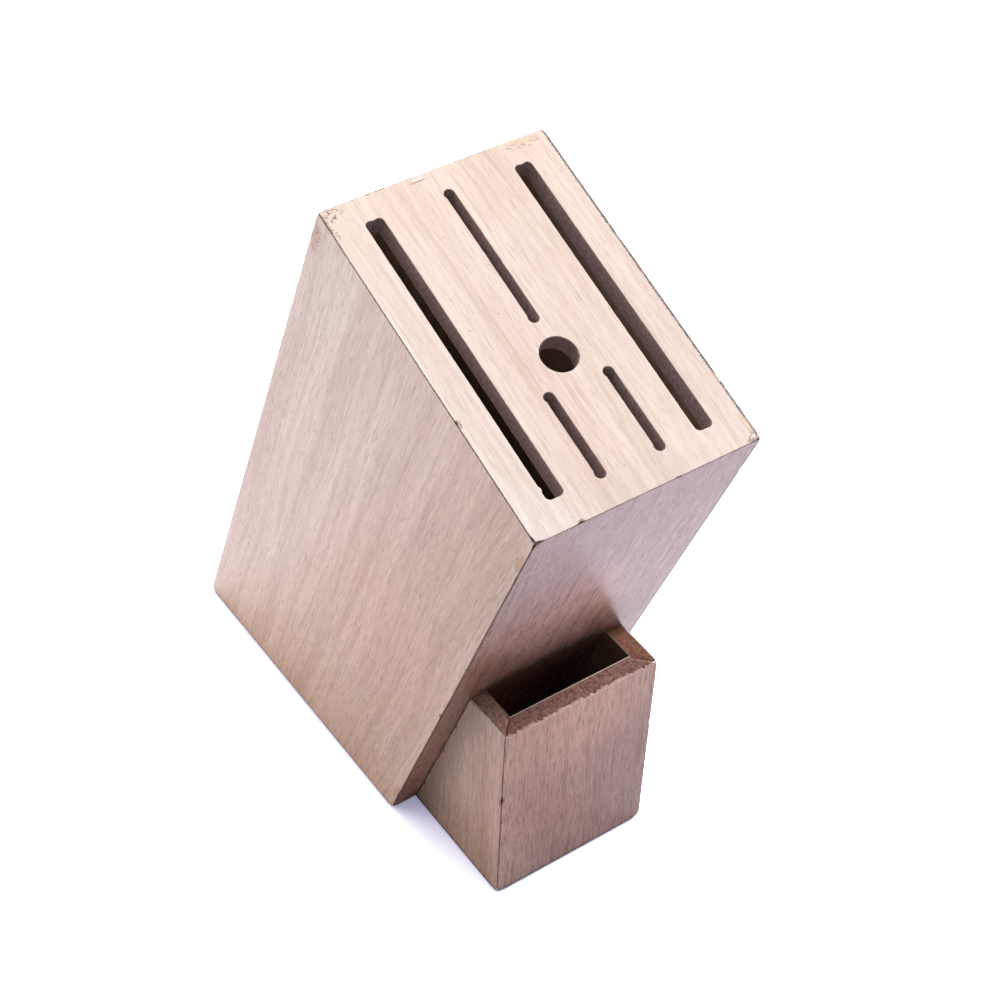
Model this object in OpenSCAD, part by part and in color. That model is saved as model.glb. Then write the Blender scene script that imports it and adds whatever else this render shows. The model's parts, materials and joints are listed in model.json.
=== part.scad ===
// Leaning knife block with a front pocket: veneered fibreboard boards, mitred and glued.
// Millimetres. +Z is up and the front looks towards -Y. The origin is on the table, midway
// between the sides and midway between the foremost and rearmost points of the block.

/* [Block] */
// Width across the two sides
block_w = 100; // [94:1:160]
// Depth of the top face, square to the front board
block_d = 148.5; // [146:0.5:200]
// Length of the back board from table end to top, along the lean
back_len = 309; // [270:1:340]
// How far the block leans forward from upright, in degrees
lean = 20.75; // [0:0.25:22]

/* [Boards] */
// Thickness of a finished board
board_t = 8.2; // [6:0.1:10]
// Thickness of the face veneer
veneer_t = 0.6; // [0.4:0.1:1]
// Thickness of the backing sheet on the inner face
backing_t = 0.4; // [0.3:0.1:0.8]

/* [Slots] */
// Width of the cutter that makes every slot
cutter_w = 4.2; // [3:0.1:5]
// Width of the two outer slots, which take three passes of the cutter
wide_slot_w = 7.7; // [6:0.1:8]
// Length of the two outer slots
wide_slot_l = 125.4; // [100:0.1:126]
// Distance of the outer slots' centre lines from the middle
wide_slot_x = 32.9; // [30:0.1:33]
// Length of the middle slot, behind the steel's hole
middle_slot_l = 63; // [50:0.1:64]
// Length of the two small slots, in front of the steel's hole
small_slot_l = 37.9; // [30:0.1:39]
// Distance of the small slots' centre lines from the middle
small_slot_x = 13.1; // [11:0.1:18]
// Diameter of the round hole for the sharpening steel
steel_d = 15.2; // [12:0.1:17]

/* [Pocket] */
// Width of the pocket
pocket_w = 75.6; // [60:0.2:80]
// How far the pocket stands out from the block's foot
pocket_d = 62.5; // [60:0.5:80]
// Height of the pocket's boards
pocket_h = 100.25; // [80:0.25:104]

/* [Pads] */
// Thickness of the non-slip pads
pad_t = 1.2; // [0.8:0.1:3]
// Diameter of the non-slip pads
pad_d = 10; // [8:0.5:12]

/* [Hidden] */
$fn = 64;
half_w = block_w / 2;
core_t = board_t - veneer_t - backing_t;
front_len = back_len - block_d * tan(lean);
front_top_y = -front_len * sin(lean);
back_foot_y = block_d / cos(lean);
// The origin lies midway between the foremost and rearmost points.
mid_y = (front_top_y + back_foot_y) / 2;
// The walls start this far below their foot and are then cut off level.
spare_len = block_d * tan(lean) + board_t;
wall_len = front_len + spare_len;
// Slot positions, measured back from the top face's front edge
wide_slot_front = block_d - 10.8 - wide_slot_l;
middle_slot_front = block_d - 9.9 - middle_slot_l;
small_slot_front = 11.5;
steel_back = block_d - 87.7;
// The cutter leaves a wider round where it plunges in, flush with the slot on one side.
plunge_d = cutter_w + 0.4;
plunge_shift = 0.2;
pocket_half = pocket_w / 2;
pad_inset = 12;
pad_front_y = board_t + pad_inset;
pad_back_y = back_foot_y - board_t - pad_inset;
pad_x = half_w - board_t - pad_inset;
pad_pocket_x = pocket_half - board_t - pad_inset;
pad_pocket_y = -pocket_d + board_t + pad_inset;
// Long enough to pass right through the block in any direction
far = 600;

// ---- Stock ----

// Depth below a board's outer face at which each ply starts and ends
VENEER = [0, veneer_t];
CORE = [veneer_t, board_t - backing_t];
BACKING = [board_t - backing_t, board_t];

module in_ply_colour(p) {
    c = p == VENEER ? [0.88, 0.77, 0.68] : p == CORE ? [0.45, 0.33, 0.26] : [0.78, 0.66, 0.55];
    color(c) children();
}

// One ply of a board u wide and v long. The board's outer face lies on z = 0 and its thickness
// is below. A mitred edge draws in as far as it is deep: m is 1 or 0 for left, right, near, far.
module ply(u, v, p, m) {
    a = p[0];
    b = p[1];
    intersection() {
        translate([0, v, 0])
            rotate([90, 0, 0])
                linear_extrude(v)
                    polygon([[m[0] * a, -a], [u - m[1] * a, -a], [u - m[1] * b, -b], [m[0] * b, -b]]);
        rotate([90, 0, 90])
            linear_extrude(u)
                polygon([[m[2] * a, -a], [v - m[3] * a, -a], [v - m[3] * b, -b], [m[2] * b, -b]]);
    }
}

// ---- The leaning box ----

// The block's own frame: x runs across, y back from the front board's face and z up the lean.
module lean_frame() {
    translate([0, -mid_y, pad_t]) rotate([lean, 0, 0]) children();
}

// Everything above the level of the boards' feet
module cut_level() {
    difference() {
        children();
        translate([-far / 2, -far / 2, pad_t - far]) cube(far);
    }
}

module wall(width, p) {
    ply(width, wall_len, p, [1, 1, 0, 1]);
}

module left_side(p) {
    in_ply_colour(p) cut_level() lean_frame()
        translate([-half_w, block_d, -spare_len]) rotate([90, 0, -90]) wall(block_d, p);
}

module right_side(p) {
    in_ply_colour(p) cut_level() lean_frame()
        translate([half_w, 0, -spare_len]) rotate([90, 0, 90]) wall(block_d, p);
}

module front_board(p) {
    in_ply_colour(p) cut_level() lean_frame()
        translate([-half_w, 0, -spare_len]) rotate([90, 0, 0]) wall(block_w, p);
}

module back_board(p) {
    in_ply_colour(p) cut_level() lean_frame()
        translate([half_w, block_d, -spare_len]) rotate([90, 0, 180]) wall(block_w, p);
}

// ---- The slotted top ----

// One straight pass of the cutter, with a round of diameter end_d at both ends
module cutter_pass(x, front, length, end_d, end_x) {
    start = front + end_d / 2;
    end = front + length - end_d / 2;
    translate([x - cutter_w / 2, start, -board_t]) cube([cutter_w, end - start, 2 * board_t]);
    for (y = [start, end])
        translate([x + end_x, y, -board_t]) cylinder(d = end_d, h = 2 * board_t);
}

module wide_slot(x) {
    step = (wide_slot_w - cutter_w) / 2;
    for (pass = [-1, 0, 1])
        cutter_pass(x + pass * step, wide_slot_front, wide_slot_l, cutter_w, 0);
}

module narrow_slot(x, front, length) {
    cutter_pass(x, front, length, plunge_d, -plunge_shift);
}

module slot_board(p) {
    in_ply_colour(p) lean_frame() translate([0, 0, front_len])
        difference() {
            translate([-half_w, 0, 0]) ply(block_w, block_d, p, [1, 1, 1, 1]);
            for (side = [-1, 1]) {
                wide_slot(side * wide_slot_x);
                narrow_slot(side * small_slot_x, small_slot_front, small_slot_l);
            }
            narrow_slot(0, middle_slot_front, middle_slot_l);
            translate([0, steel_back, -board_t]) cylinder(d = steel_d, h = 2 * board_t);
        }
}

// The base is let in between the four walls, so its front and back edges follow the lean.
module base_board() {
    front = board_t / cos(lean);
    back = (block_d - board_t) / cos(lean);
    set_back = core_t * tan(lean);
    in_ply_colour(CORE)
        translate([board_t - half_w, -mid_y, pad_t]) rotate([90, 0, 90])
            linear_extrude(block_w - 2 * board_t)
                polygon([[front, 0], [back, 0], [back - set_back, core_t], [front - set_back, core_t]]);
}

// ---- The pocket ----

// The cheeks and floor are scribed to the leaning front board.
module scribed() {
    difference() {
        children();
        lean_frame() translate([-far / 2, 0, -far / 2]) cube(far);
    }
}

module pocket_left(p) {
    in_ply_colour(p) scribed()
        translate([-pocket_half, -mid_y, pad_t]) rotate([90, 0, -90])
            ply(pocket_d, pocket_h, p, [0, 1, 0, 0]);
}

module pocket_right(p) {
    in_ply_colour(p) scribed()
        translate([pocket_half, -mid_y - pocket_d, pad_t]) rotate([90, 0, 90])
            ply(pocket_d, pocket_h, p, [1, 0, 0, 0]);
}

module pocket_front(p) {
    in_ply_colour(p)
        translate([-pocket_half, -mid_y - pocket_d, pad_t]) rotate([90, 0, 0])
            ply(pocket_w, pocket_h, p, [1, 1, 0, 0]);
}

module pocket_floor() {
    in_ply_colour(CORE) scribed()
        translate([board_t - pocket_half, -mid_y - pocket_d + board_t, pad_t])
            cube([pocket_w - 2 * board_t, pocket_d, core_t]);
}

// ---- The pads ----

module pad(x, y) {
    color([0.10, 0.10, 0.11]) translate([x, y - mid_y, 0]) cylinder(d = pad_d, h = pad_t);
}

left_side(CORE);  // left_side_core
left_side(VENEER);  // left_side_veneer
left_side(BACKING);  // left_side_backing
right_side(CORE);  // right_side_core
right_side(VENEER);  // right_side_veneer
right_side(BACKING);  // right_side_backing
front_board(CORE);  // front_board_core
front_board(VENEER);  // front_board_veneer
front_board(BACKING);  // front_board_backing
back_board(CORE);  // back_board_core
back_board(VENEER);  // back_board_veneer
back_board(BACKING);  // back_board_backing
slot_board(CORE);  // slot_board_core
slot_board(VENEER);  // slot_board_veneer
slot_board(BACKING);  // slot_board_backing
base_board();
pocket_left(CORE);  // pocket_left_core
pocket_left(VENEER);  // pocket_left_veneer
pocket_left(BACKING);  // pocket_left_backing
pocket_right(CORE);  // pocket_right_core
pocket_right(VENEER);  // pocket_right_veneer
pocket_right(BACKING);  // pocket_right_backing
pocket_front(CORE);  // pocket_front_core
pocket_front(VENEER);  // pocket_front_veneer
pocket_front(BACKING);  // pocket_front_backing
pocket_floor();
pad(-pad_x, pad_back_y);  // pad_back_left
pad(pad_x, pad_back_y);  // pad_back_right
pad(-pad_x, pad_front_y);  // pad_front_left
pad(pad_x, pad_front_y);  // pad_front_right
pad(-pad_pocket_x, pad_pocket_y);  // pad_pocket_left
pad(pad_pocket_x, pad_pocket_y);  // pad_pocket_right
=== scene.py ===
"""How the knife block looks: veneered boards with worn edges, cutter marks, bare fibreboard rims."""

import json
import math
from dataclasses import dataclass

import bmesh
import bpy
from mathutils import Matrix, Vector, noise
from mathutils.geometry import delaunay_2d_cdt

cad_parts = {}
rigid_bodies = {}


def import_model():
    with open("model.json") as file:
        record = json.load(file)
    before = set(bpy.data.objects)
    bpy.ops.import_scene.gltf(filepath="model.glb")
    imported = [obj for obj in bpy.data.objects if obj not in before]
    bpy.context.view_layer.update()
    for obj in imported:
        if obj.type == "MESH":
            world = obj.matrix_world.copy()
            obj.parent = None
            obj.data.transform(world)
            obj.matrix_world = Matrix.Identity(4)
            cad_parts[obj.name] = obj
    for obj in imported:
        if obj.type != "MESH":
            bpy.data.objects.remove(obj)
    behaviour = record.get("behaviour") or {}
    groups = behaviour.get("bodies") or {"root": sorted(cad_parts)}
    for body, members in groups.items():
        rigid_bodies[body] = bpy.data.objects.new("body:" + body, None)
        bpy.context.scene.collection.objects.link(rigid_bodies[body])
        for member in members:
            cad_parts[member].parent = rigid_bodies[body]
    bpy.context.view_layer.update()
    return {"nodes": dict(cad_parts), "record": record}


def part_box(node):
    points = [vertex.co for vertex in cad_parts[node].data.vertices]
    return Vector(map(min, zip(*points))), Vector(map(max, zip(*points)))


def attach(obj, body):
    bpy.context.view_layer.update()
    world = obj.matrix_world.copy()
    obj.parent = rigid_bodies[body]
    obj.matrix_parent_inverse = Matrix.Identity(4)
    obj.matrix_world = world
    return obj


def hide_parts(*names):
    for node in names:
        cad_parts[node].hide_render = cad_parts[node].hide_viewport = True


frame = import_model()

# ---------------- sizes, in millimetres

MM = 0.001  # metres in a millimetre
scene = bpy.context.scene


def box_mm(node):
    lo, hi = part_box(node)
    return lo / MM, hi / MM


def mount(name):
    return next(m for m in frame["record"]["mounts"] if m["name"] == name)


steel_axis = mount("steel_hole")["axis"]
LEAN = math.atan2(-steel_axis[1], steel_axis[2])
SLOPE = math.tan(LEAN)

side_lo, side_hi = box_mm("left_side_veneer")
front_lo, front_hi = box_mm("front_board_veneer")
pocket_lo, pocket_hi = box_mm("pocket_front_veneer")

BLOCK_W = front_hi.x - front_lo.x
FOOT_Z = side_lo.z  # the boards stand this far off the table, on the pads
FRONT_LEN = (front_hi.z - FOOT_Z) / math.cos(LEAN)
BLOCK_D = (side_hi.z - front_hi.z) / math.sin(LEAN)
FOOT_Y = side_hi.y - BLOCK_D / math.cos(LEAN)  # where the front board's face meets its foot
POCKET_W = pocket_hi.x - pocket_lo.x
POCKET_D = FOOT_Y - pocket_lo.y
POCKET_H = pocket_hi.z - pocket_lo.z

VENEER_T = 0.6  # face veneer
BACKING_T = 0.4  # backing sheet on the inner face
BOARD_T = 8.2  # whole board
CORE_END = BOARD_T - BACKING_T

CUTTER_R = 2.1
WIDE_SLOT_W = 7.7
PLUNGE_R = 2.3  # round left where the cutter plunges in, flush with the slot's right wall
STEEL_R = mount("steel_hole")["dims"]["r_mm"]

# ---------------- board frames

# The block's own frame: x across, y back from the front board's face, z up the lean.
LEAN_FRAME = Matrix.Translation((0, FOOT_Y, FOOT_Z)) @ Matrix.Rotation(LEAN, 4, "X")
UPRIGHT_FRAME = Matrix.Translation((0, FOOT_Y, FOOT_Z))


def board_frame(parent, origin, across, along):
    """A board's frame: x across its grain, y along it and z out of its face."""
    out = Vector(across).cross(Vector(along))
    axes = Matrix((across, along, out)).transposed().to_4x4()
    return parent @ Matrix.Translation(origin) @ axes


# ---------------- wear

HALF_W = BLOCK_W / 2

# Worn corners and knocks of the leaning box: place in its own frame, reach, depth of the wear
LEAN_WEAR = [
    ((-HALF_W, 0, FRONT_LEN), 3.2, 0.8),
    ((HALF_W, 0, FRONT_LEN), 2.2, 0.4),
    ((-HALF_W, BLOCK_D, FRONT_LEN), 2.6, 0.35),
    ((HALF_W, BLOCK_D, FRONT_LEN), 2.0, 0.35),
    ((-HALF_W, BLOCK_D - 97, FRONT_LEN), 1.6, 0.5),
    ((HALF_W, 27, FRONT_LEN), 1.5, 0.4),
    ((HALF_W, 95, FRONT_LEN), 1.8, 0.35),
    ((-31, 0, FRONT_LEN), 2.4, 0.45),
    ((12, 0, FRONT_LEN), 1.6, 0.3),
    ((-HALF_W, 0, FRONT_LEN - 26), 2.6, 0.35),
    ((-HALF_W, 0, FRONT_LEN - 151), 1.6, 0.6),
    ((-HALF_W, 0, 14), 3.5, 0.4),
    ((HALF_W, 0, FRONT_LEN - 22), 3.0, 0.5),
    ((HALF_W, 0, 60), 2.0, 0.4),
    ((-HALF_W, BLOCK_D, 120), 2.2, 0.3),
    ((HALF_W, BLOCK_D, 160), 2.4, 0.4),
    ((-HALF_W, 0, 0), 2.2, 0.4),
    ((HALF_W, 0, 0), 2.2, 0.4),
    ((-HALF_W, BLOCK_D, -BLOCK_D * SLOPE), 2.4, 0.5),
    ((HALF_W, BLOCK_D, -BLOCK_D * SLOPE), 2.4, 0.5),
]

HALF_POCKET = POCKET_W / 2

# The same for the pocket, in the upright frame
POCKET_WEAR = [
    ((-HALF_POCKET, -POCKET_D, 0), 2.6, 0.6),
    ((HALF_POCKET, -POCKET_D, 0), 2.6, 0.7),
    ((-HALF_POCKET, -POCKET_D, POCKET_H - 39), 2.0, 0.8),
    ((-HALF_POCKET, -POCKET_D, POCKET_H - 55), 0.9, 0.3),
    ((-HALF_POCKET, -POCKET_D, POCKET_H), 1.6, 0.5),
    ((HALF_POCKET, -POCKET_D, POCKET_H), 2.0, 0.6),
    ((HALF_POCKET, -POCKET_D, 62), 1.8, 0.4),
    ((-HALF_POCKET, -75 * SLOPE, 75), 1.6, 0.7),
    ((-HALF_POCKET, -52 * SLOPE, 52), 2.0, 0.8),
    ((-HALF_POCKET, -16 * SLOPE, 16), 1.6, 0.6),
    ((HALF_POCKET, -60 * SLOPE, 60), 1.8, 0.6),
]


def knock(corner, outward, legs):
    """A plane that takes a corner off: where it is, which way is out, and how far in it starts."""
    start = Vector(corner) - Vector((outward[0] * legs[0], 0, 0))
    return start, Vector([o / leg for o, leg in zip(outward, legs)]).normalized()


BACK_FOOT = -BLOCK_D * SLOPE

LEAN_KNOCKS = [
    knock((-HALF_W, 0, FRONT_LEN), (-1, -1, 1), (1.1, 0.7, 0.9)),
    knock((HALF_W, 0, FRONT_LEN), (1, -1, 1), (0.6, 0.5, 0.5)),
    knock((-HALF_W, BLOCK_D, FRONT_LEN), (-1, 1, 1), (0.5, 0.6, 0.5)),
    knock((HALF_W, BLOCK_D, FRONT_LEN), (1, 1, 1), (0.5, 0.5, 0.5)),
    knock((-HALF_W, 0, 0), (-1, -1, -1), (0.9, 0.9, 1.0)),
    knock((HALF_W, 0, 0), (1, -1, -1), (0.9, 0.9, 1.0)),
    knock((-HALF_W, BLOCK_D, BACK_FOOT), (-1, 1, -1), (0.9, 0.9, 1.2)),
    knock((HALF_W, BLOCK_D, BACK_FOOT), (1, 1, -1), (0.9, 0.9, 1.2)),
]

POCKET_KNOCKS = [
    knock((-HALF_POCKET, -POCKET_D, 0), (-1, -1, -1), (1.5, 1.5, 1.5)),
    knock((HALF_POCKET, -POCKET_D, 0), (1, -1, -1), (1.5, 1.5, 1.6)),
    knock((-HALF_POCKET, -POCKET_D, POCKET_H), (-1, -1, 1), (0.6, 0.6, 0.5)),
    knock((HALF_POCKET, -POCKET_D, POCKET_H), (1, -1, 1), (0.9, 0.9, 0.8)),
]


def chip(x, y, toward, legs):
    """A plane square to a board's face that breaks one corner off its veneer."""
    normal = Vector((toward[0] / legs[0], toward[1] / legs[1], 0)).normalized()
    return Vector((x - toward[0] * legs[0], y, 0)), normal


def worn(point, wear):
    """How far an edge at point has worn back."""
    total = 0.0
    for place, reach, depth in wear:
        near = 1 - (point - Vector(place)).length / reach
        if near > 0:
            total = max(total, depth * near**0.7)
    return total


def hash01(a, b):
    """A repeatable number from 0 to 1 for any two numbers."""
    return noise.cell(Vector((a * 1.7 + 0.31, b * 2.3 + 5.1, 7.7)))


def fray(s, amount, seed):
    """Broken fibre ends along an edge: short steps of uneven depth."""
    if amount == 0:
        return 0.0
    long_steps = hash01(s / 3.7 + seed, seed + 1)
    steps = hash01(s / 1.3 + seed, seed) * 0.6 + hash01(s / 0.55 + seed, seed + 3) * 0.4
    swell = 0.5 + noise.noise(Vector((s * 0.11, seed, 0.3)))
    return amount * (0.5 * long_steps + 0.5 * steps) * max(0.2, swell) * 1.3


# ---------------- board meshes

EASE_STEPS = 3  # rings that round an edge
MOST_ROUNDED = 0.75  # the rounding goes no deeper than this share of a ply
CALM_MM = 1.5  # broken fibres fade out this close to a corner
RIM_EASE = 0.12  # radius of a hole's broken rim


@dataclass
class Edge:
    """One edge of a ply, in millimetres."""

    slope: float = 0.0  # how much it draws in per millimetre of depth: 1 for a mitre, 0 for square
    ease: float = 0.25  # radius of the rounding at the outer face
    gap: float = 0.0  # how far the whole edge stands back from its neighbour
    frayed: float = 0.0  # depth of the broken fibres along it
    line: float = 0.0  # how dark the line along the edge is, 0 to 1: dirt in a joint, painted shade in a gap and under the foot
    width: float = 0.5  # how wide that line is
    step: float = 1.1  # distance between the points along it


def side_of(a, b):
    direction = (b - a).normalized()
    return direction, Vector((-direction.y, direction.x))


def meet(p, d, q, e):
    """Where the line through p along d meets the line through q along e."""
    across = d.x * e.y - d.y * e.x
    t = ((q.x - p.x) * e.y - (q.y - p.y) * e.x) / across
    return p + d * t


class Ply:
    """Builds one ply of a board as a closed mesh in the board's frame, in millimetres."""

    def __init__(self, corners, edges, start, end, wear, to_wear, seed, holes=()):
        self.corners = [Vector(c) for c in corners]
        self.edges = edges
        self.start = start
        self.end = end
        self.wear = wear
        self.to_wear = to_wear
        self.seed = seed
        self.holes = holes
        self.points = []
        self.faces = []

    def ends(self, i):
        """Both ends of edge i."""
        return self.corners[i], self.corners[(i + 1) % len(self.corners)]

    def spacing(self, i):
        """Where the points along edge i stand, as shares of its length."""
        a, b = self.ends(i)
        count = max(4, int((b - a).length / self.edges[i].step))
        return [j / count for j in range(count + 1)]

    def edge_state(self, i, t):
        """How far the edge stands back and how round it is, a share t along edge i."""
        a, b = self.ends(i)
        edge = self.edges[i]
        spot = a.lerp(b, t)
        depth = worn(self.to_wear @ Vector((spot.x, spot.y, 0)), self.wear)
        length = (b - a).length
        calm = min(1.0, min(t, 1 - t) * length / CALM_MM)
        back = edge.gap + depth * 0.8 + fray(t * length, edge.frayed, self.seed + i * 9.1) * calm
        ripple = 1 + 0.5 * noise.noise(Vector((t * length * 0.35, i * 5.3, self.seed)))
        ease = edge.ease * ripple + depth * 0.6
        return back, ease

    def ring(self, share):
        """Outline with the edges rounded by share: 0 on the face, 1 at the end of the rounding."""
        sides = range(len(self.corners))
        states = [[self.edge_state(i, t) for t in self.spacing(i)] for i in sides]
        return [spot for i in sides for spot in self.ring_side(i, share, states)]

    def offset(self, edge, back, ease, share):
        """Inset and depth of a point on the rounding of one edge."""
        whole_turn = math.radians(45 if edge.slope > 0.5 else 90)
        deepest = MOST_ROUNDED * (self.end - self.start)
        ease = min(ease, deepest / (1 - math.cos(whole_turn)))
        turn = whole_turn * share
        depth = self.start + ease * (1 - math.cos(turn))
        inset = ease * (1 - math.sin(turn)) + edge.slope * self.start
        return back + inset, depth

    def ring_side(self, i, share, states):
        """The part of a ring along edge i, without its far end."""
        a, b = self.ends(i)
        after = (i + 1) % len(self.corners)
        _, inward = side_of(a, b)
        first = self.corner(i, share, states[i - 1][-1], states[i][0])
        last = self.corner(after, share, states[i][-1], states[after][0])
        in0 = (first[0] - a).dot(inward)
        in1 = (last[0] - a).dot(inward)
        side = [(first[0].x, first[0].y, first[1])]
        for t, (back, ease) in zip(self.spacing(i)[1:-1], states[i][1:-1]):
            inset, depth = self.offset(self.edges[i], back, ease, share)
            level = in0 + (in1 - in0) * t
            spot = first[0].lerp(last[0], t) + inward * (inset - level)
            side.append((spot.x, spot.y, depth))
        return side

    def crossing(self, i, inset_in, inset_out):
        """Where edge i-1 and edge i meet when they are set in this far."""
        here, after = self.ends(i)
        d_in, n_in = side_of(self.corners[i - 1], here)
        d_out, n_out = side_of(here, after)
        return meet(here + n_in * inset_in, d_in, here + n_out * inset_out, d_out)

    def corner(self, i, share, state_in, state_out):
        """Place and depth of a ring's corner between edge i-1 and edge i."""
        inset_in, depth_in = self.offset(self.edges[i - 1], *state_in, share)
        inset_out, depth_out = self.offset(self.edges[i], *state_out, share)
        return self.crossing(i, inset_in, inset_out), (depth_in + depth_out) / 2

    def floor_ring(self):
        """Outline on the ply's inner face."""
        count = len(self.corners)
        insets = [edge.gap + edge.slope * self.end for edge in self.edges]
        spots = [self.crossing(i, insets[i - 1], insets[i]) for i in range(count)]
        outline = []
        for i in range(count):
            a, b = self.ends(i)
            _, inward = side_of(a, b)
            for t in self.spacing(i)[:-1]:
                back, _ = self.edge_state(i, t)
                calm = min(1.0, min(t, 1 - t) * (b - a).length / CALM_MM)
                extra = (back - self.edges[i].gap) * calm
                spot = spots[i].lerp(spots[(i + 1) % count], t) + inward * extra
                outline.append((spot.x, spot.y, self.end))
        return outline

    def add_ring(self, ring):
        """Adds a ring's points and gives their numbers."""
        first = len(self.points)
        self.points += [(x, y, -depth) for x, y, depth in ring]
        return list(range(first, first + len(ring)))

    def join(self, rings):
        """Faces between each ring and the next."""
        for upper, lower in zip(rings, rings[1:]):
            for j in range(len(upper)):
                k = (j + 1) % len(upper)
                self.faces.append((upper[j], lower[j], lower[k], upper[k]))

    def cap(self, loops, flip):
        """Fills the area between an outline, the first loop, and its holes, the rest."""
        index = [i for loop in loops for i in loop]
        flat = [Vector(self.points[i][:2]) for i in index]
        areas = []
        base = 0
        for loop in loops:
            area = list(range(base, base + len(loop)))
            areas.append(area if base == 0 else area[::-1])
            base += len(loop)
        inside_only = 1
        same_spot_mm = 1e-5
        result = delaunay_2d_cdt(flat, [], areas, inside_only, same_spot_mm)
        new_points, triangles, source, within = result[0], result[2], result[3], result[5]
        z = self.points[loops[0][0]][2]
        known = {}
        for j, came_from in enumerate(source):
            if came_from:
                known[j] = index[came_from[0]]
            else:
                known[j] = len(self.points)
                self.points.append((new_points[j].x, new_points[j].y, z))
        for triangle, areas_round_it in zip(triangles, within):
            corners = [known[j] for j in triangle]
            if len(areas_round_it) == 1 and len(set(corners)) == 3:
                self.faces.append(tuple(reversed(corners)) if flip else tuple(corners))

    def build(self):
        """The whole ply: its points and faces."""
        rings = [self.add_ring(self.ring(k / EASE_STEPS)) for k in range(EASE_STEPS + 1)]
        rings.append(self.add_ring(self.floor_ring()))
        self.join(rings)
        top_loops = [rings[0]]
        bottom_loops = [rings[-1]]
        for outline in self.holes:
            top, bottom = self.build_hole(outline)
            top_loops.append(top)
            bottom_loops.append(bottom)
        self.cap(top_loops, False)
        self.cap(bottom_loops, True)
        return self.points, self.faces

    def build_hole(self, outline):
        """A hole's wall, with a slightly broken rim at the outer face."""
        count = len(outline)
        loops = []
        for degrees in (0, 45, 90):
            turn = math.radians(degrees)
            out = RIM_EASE * (1 - math.sin(turn))
            depth = self.start + RIM_EASE * (1 - math.cos(turn))
            ring = []
            for j, spot in enumerate(outline):
                ahead = outline[(j + 1) % count] - outline[j - 1]
                normal = Vector((-ahead.y, ahead.x)).normalized()
                moved = spot + normal * out
                ring.append((moved.x, moved.y, depth))
            loops.append(self.add_ring(ring))
        loops.append(self.add_ring([(p.x, p.y, self.end) for p in outline]))
        self.join(loops)
        return loops[0], loops[-1]


def take_off(points, faces, planes):
    """Cuts what is beyond each plane off a closed mesh and closes it again."""
    shape = bmesh.new()
    for p in points:
        shape.verts.new(p)
    shape.verts.ensure_lookup_table()
    for face in faces:
        shape.faces.new([shape.verts[i] for i in face])
    for spot, normal in planes:
        if all((v.co - spot).dot(normal) <= 0 for v in shape.verts):
            continue
        everything = shape.verts[:] + shape.edges[:] + shape.faces[:]
        cut = bmesh.ops.bisect_plane(
            shape, geom=everything, plane_co=spot, plane_no=normal, clear_outer=True
        )
        rim = [e for e in cut["geom_cut"] if isinstance(e, bmesh.types.BMEdge)]
        bmesh.ops.holes_fill(shape, edges=rim)
    shape.verts.index_update()
    new_points = [tuple(v.co) for v in shape.verts]
    new_faces = [tuple(v.index for v in f.verts) for f in shape.faces]
    shape.free()
    return new_points, new_faces


def in_frame(planes, to_own):
    """The same planes in a board's own frame."""
    turn = to_own.to_3x3()
    return [(to_own @ spot, turn @ normal) for spot, normal in planes]


def add_piece(name, points, faces, placed, material, slot, *nodes):
    """Adds a mesh given in its own frame in millimetres, which its material reads as "own_mm"."""
    mesh = bpy.data.meshes.new(name)
    mesh.from_pydata([(placed @ Vector(p)) * MM for p in points], [], faces)
    own = mesh.attributes.new("own_mm", "FLOAT_VECTOR", "POINT")
    own.data.foreach_set("vector", [c for p in points for c in p])
    mesh.validate()
    mesh.update()
    mesh.materials.append(material)
    piece = bpy.data.objects.new(name, mesh)
    scene.collection.objects.link(piece)
    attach(piece, "root")
    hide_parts(*nodes)
    return piece


# ---------------- holes of the slotted board


CHATTER = 0.1  # how far the cutter strayed
CORNER_STEPS = 8
PLUNGE_STEPS = 16


def arc(centre, radius, start, end, count):
    """Points on an arc from one angle to another, in degrees."""
    spots = []
    for j in range(count + 1):
        a = math.radians(start + (end - start) * j / count)
        spots.append(Vector((centre[0] + radius * math.cos(a), centre[1] + radius * math.sin(a))))
    return spots


def straight(a, b, step=1.5):
    """Points along a line, without its two ends."""
    a, b = Vector(a), Vector(b)
    count = max(2, int((b - a).length / step))
    return [a.lerp(b, j / count) for j in range(1, count)]


def roughen(outline, amount, seed):
    """Cutter chatter: moves an outline's points a little, the same at every depth."""
    moved = []
    for p in outline:
        spot = Vector((p.x * 0.45, p.y * 0.45, seed))
        shift = Vector((noise.noise(spot), noise.noise(spot + Vector((0, 0, 40.5)))))
        moved.append(p + shift * amount)
    return moved


def wide_slot(x, y0, y1, seed, burr=None):
    """A slot wider than the cutter: flat ends with the cutter's own corner radius.

    burr: how far from its front end a splinter was left standing on its left wall
    """
    half = WIDE_SLOT_W / 2
    r = CUTTER_R
    outline = arc((x + half - r, y0 + r), r, -90, 0, CORNER_STEPS)
    outline += straight((x + half, y0 + r), (x + half, y1 - r))
    outline += arc((x + half - r, y1 - r), r, 0, 90, CORNER_STEPS)
    # The low ridge left between the cutter's two passes
    outline += [Vector((x + 0.3, y1 - 0.3)), Vector((x - 0.1, y1 - 0.28))]
    outline += arc((x - half + r, y1 - r), r, 90, 180, CORNER_STEPS)
    left_wall = straight((x - half, y1 - r), (x - half, y0 + r))
    if burr:
        splinter = min(left_wall, key=lambda p: abs(p.y - y0 - burr))
        splinter.x += 0.7
    outline += left_wall
    outline += arc((x - half + r, y0 + r), r, 180, 270, CORNER_STEPS)
    return roughen(outline, CHATTER, seed)


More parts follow.
